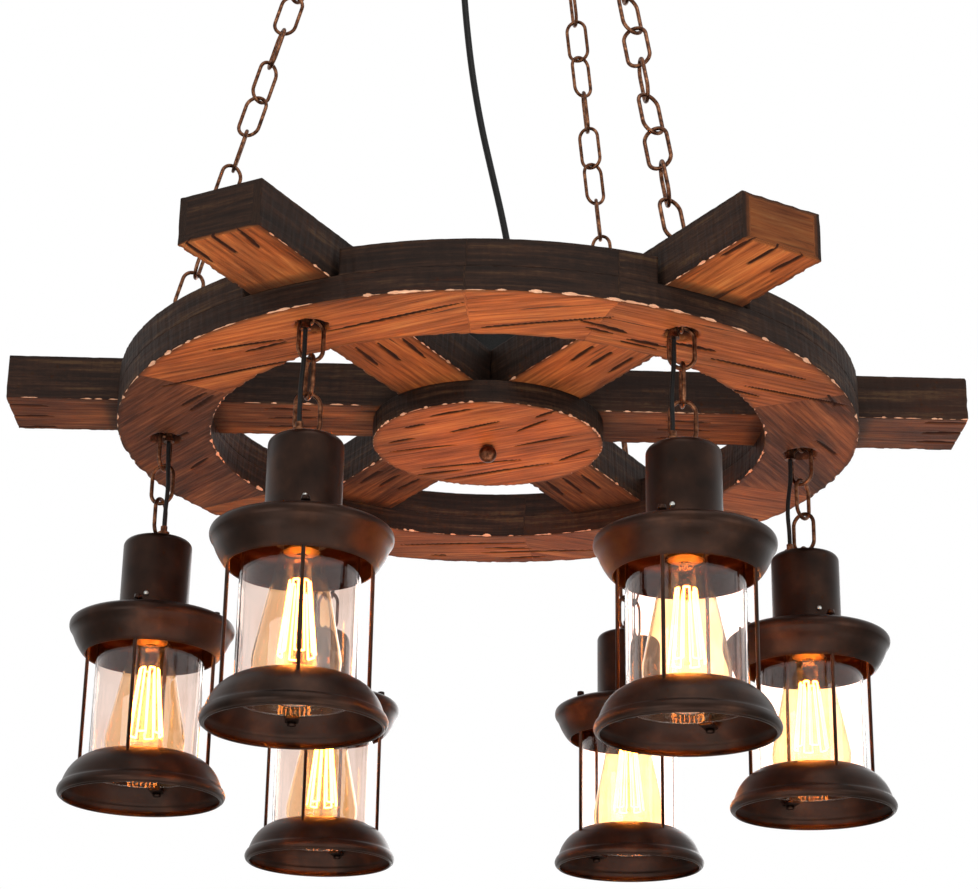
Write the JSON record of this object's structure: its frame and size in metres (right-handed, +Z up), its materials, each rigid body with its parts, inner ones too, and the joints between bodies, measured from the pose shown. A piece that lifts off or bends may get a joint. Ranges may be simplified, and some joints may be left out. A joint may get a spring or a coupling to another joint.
{
  "type": "wagon wheel chandelier",
  "caption": "Wooden wagon wheel on chains under a ceiling canopy, with a lantern of glass and bronze metal hanging on a short chain from the end of every spoke",
  "frame": {"origin": "centre of the ceiling bracket's slots, on the ceiling plane", "axes": "+Z up, the wheel is level in XY, two spokes lie along X, the picture looks along +Y"},
  "size_m": [0.8, 0.728, 1.5],
  "materials": {
    "bright_steel": "zinc plated",
    "bronze_metal": "satin dark bronze",
    "chain_bronze": "antique copper bronze",
    "black_cable": "black sheath",
    "burnt_wood": "aged pine, stained, edges burnt",
    "black_plastic": "moulded black",
    "lamp_glass": "lit filament lamp",
    "amber_glass": "clear, faint amber"
  },
  "bodies": {
    "ceiling": {"ceiling_bracket": "bright_steel", "ceiling_canopy": "bronze_metal"},
    "wheel": {"left_chain": "chain_bronze", "near_chain": "chain_bronze", "far_chain": "chain_bronze", "screw_eyes": "chain_bronze", "power_cable": "black_cable", "rim_ring": "burnt_wood", "rim_blocks": "burnt_wood", "hub_disc": "burnt_wood", "spoke_1": "burnt_wood", "spoke_2": "burnt_wood", "spoke_3": "burnt_wood", "spoke_4": "burnt_wood", "spoke_5": "burnt_wood", "spoke_6": "burnt_wood", "hub_bolt": "bronze_metal", "junction_box": "black_plastic"},
    "lantern_1": {"lantern_1_hanger": "chain_bronze", "lantern_1_flex": "black_cable", "lantern_1_lampholder": "black_plastic", "lantern_1_cap": "bronze_metal", "lantern_1_glass": "amber_glass", "lantern_1_cage": "bronze_metal"},
    "bulb_1": {"lantern_1_bulb": "lamp_glass"},
    "lantern_2": {"lantern_2_hanger": "chain_bronze", "lantern_2_flex": "black_cable", "lantern_2_lampholder": "black_plastic", "lantern_2_cap": "bronze_metal", "lantern_2_glass": "amber_glass", "lantern_2_cage": "bronze_metal"},
    "bulb_2": {"lantern_2_bulb": "lamp_glass"},
    "lantern_3": {"lantern_3_hanger": "chain_bronze", "lantern_3_flex": "black_cable", "lantern_3_lampholder": "black_plastic", "lantern_3_cap": "bronze_metal", "lantern_3_glass": "amber_glass", "lantern_3_cage": "bronze_metal"},
    "bulb_3": {"lantern_3_bulb": "lamp_glass"},
    "lantern_4": {"lantern_4_hanger": "chain_bronze", "lantern_4_flex": "black_cable", "lantern_4_lampholder": "black_plastic", "lantern_4_cap": "bronze_metal", "lantern_4_glass": "amber_glass", "lantern_4_cage": "bronze_metal"},
    "bulb_4": {"lantern_4_bulb": "lamp_glass"},
    "lantern_5": {"lantern_5_hanger": "chain_bronze", "lantern_5_flex": "black_cable", "lantern_5_lampholder": "black_plastic", "lantern_5_cap": "bronze_metal", "lantern_5_glass": "amber_glass", "lantern_5_cage": "bronze_metal"},
    "bulb_5": {"lantern_5_bulb": "lamp_glass"},
    "lantern_6": {"lantern_6_hanger": "chain_bronze", "lantern_6_flex": "black_cable", "lantern_6_lampholder": "black_plastic", "lantern_6_cap": "bronze_metal", "lantern_6_glass": "amber_glass", "lantern_6_cage": "bronze_metal"},
    "bulb_6": {"lantern_6_bulb": "lamp_glass"}
  },
  "joints": [
    {"name": "wheel_swing", "type": "hinge", "parent": "ceiling", "child": "wheel", "pos_m": [0, 0, -0.0725], "axis": [0, 1, 0], "range_deg": [-12, 12], "deforming": ["power_cable"]},
    {"name": "lantern_1_swing", "type": "hinge", "parent": "wheel", "child": "lantern_1", "pos_m": [0.264, 0, -1.191], "axis": [0.6428, 0.766, 0], "range_deg": [-12, 12], "deforming": ["lantern_1_flex"]},
    {"name": "bulb_1_turn", "type": "hinge", "parent": "lantern_1", "child": "bulb_1", "pos_m": [0.264, 0, -1.3582], "axis": [0, 0, 1], "range_deg": [-1980, 0]},
    {"name": "lantern_2_swing", "type": "hinge", "parent": "wheel", "child": "lantern_2", "pos_m": [0.1365, 0.23642, -1.191], "axis": [-0.5736, 0.8192, 0], "range_deg": [-12, 12], "deforming": ["lantern_2_flex"]},
    {"name": "bulb_2_turn", "type": "hinge", "parent": "lantern_2", "child": "bulb_2", "pos_m": [0.1365, 0.23642, -1.3582], "axis": [0, 0, 1], "range_deg": [-1980, 0]},
    {"name": "lantern_3_swing", "type": "hinge", "parent": "wheel", "child": "lantern_3", "pos_m": [-0.1385, 0.23989, -1.191], "axis": [0.342, 0.9397, 0], "range_deg": [-12, 12], "deforming": ["lantern_3_flex"]},
    {"name": "bulb_3_turn", "type": "hinge", "parent": "lantern_3", "child": "bulb_3", "pos_m": [-0.1385, 0.23989, -1.3582], "axis": [0, 0, 1], "range_deg": [-1980, 0]},
    {"name": "lantern_4_swing", "type": "hinge", "parent": "wheel", "child": "lantern_4", "pos_m": [-0.27, 0, -1.191], "axis": [-0.9397, 0.342, 0], "range_deg": [-12, 12], "deforming": ["lantern_4_flex"]},
    {"name": "bulb_4_turn", "type": "hinge", "parent": "lantern_4", "child": "bulb_4", "pos_m": [-0.27, 0, -1.3582], "axis": [0, 0, 1], "range_deg": [-1980, 0]},
    {"name": "lantern_5_swing", "type": "hinge", "parent": "wheel", "child": "lantern_5", "pos_m": [-0.1375, -0.23816, -1.191], "axis": [-0.342, 0.9397, 0], "range_deg": [-12, 12], "deforming": ["lantern_5_flex"]},
    {"name": "bulb_5_turn", "type": "hinge", "parent": "lantern_5", "child": "bulb_5", "pos_m": [-0.1375, -0.23816, -1.3582], "axis": [0, 0, 1], "range_deg": [-1980, 0]},
    {"name": "lantern_6_swing", "type": "hinge", "parent": "wheel", "child": "lantern_6", "pos_m": [0.1385, -0.23989, -1.191], "axis": [0, 1, 0], "range_deg": [-12, 12], "deforming": ["lantern_6_flex"]},
    {"name": "bulb_6_turn", "type": "hinge", "parent": "lantern_6", "child": "bulb_6", "pos_m": [0.1385, -0.23989, -1.3582], "axis": [0, 0, 1], "range_deg": [-1980, 0]}
  ]
}
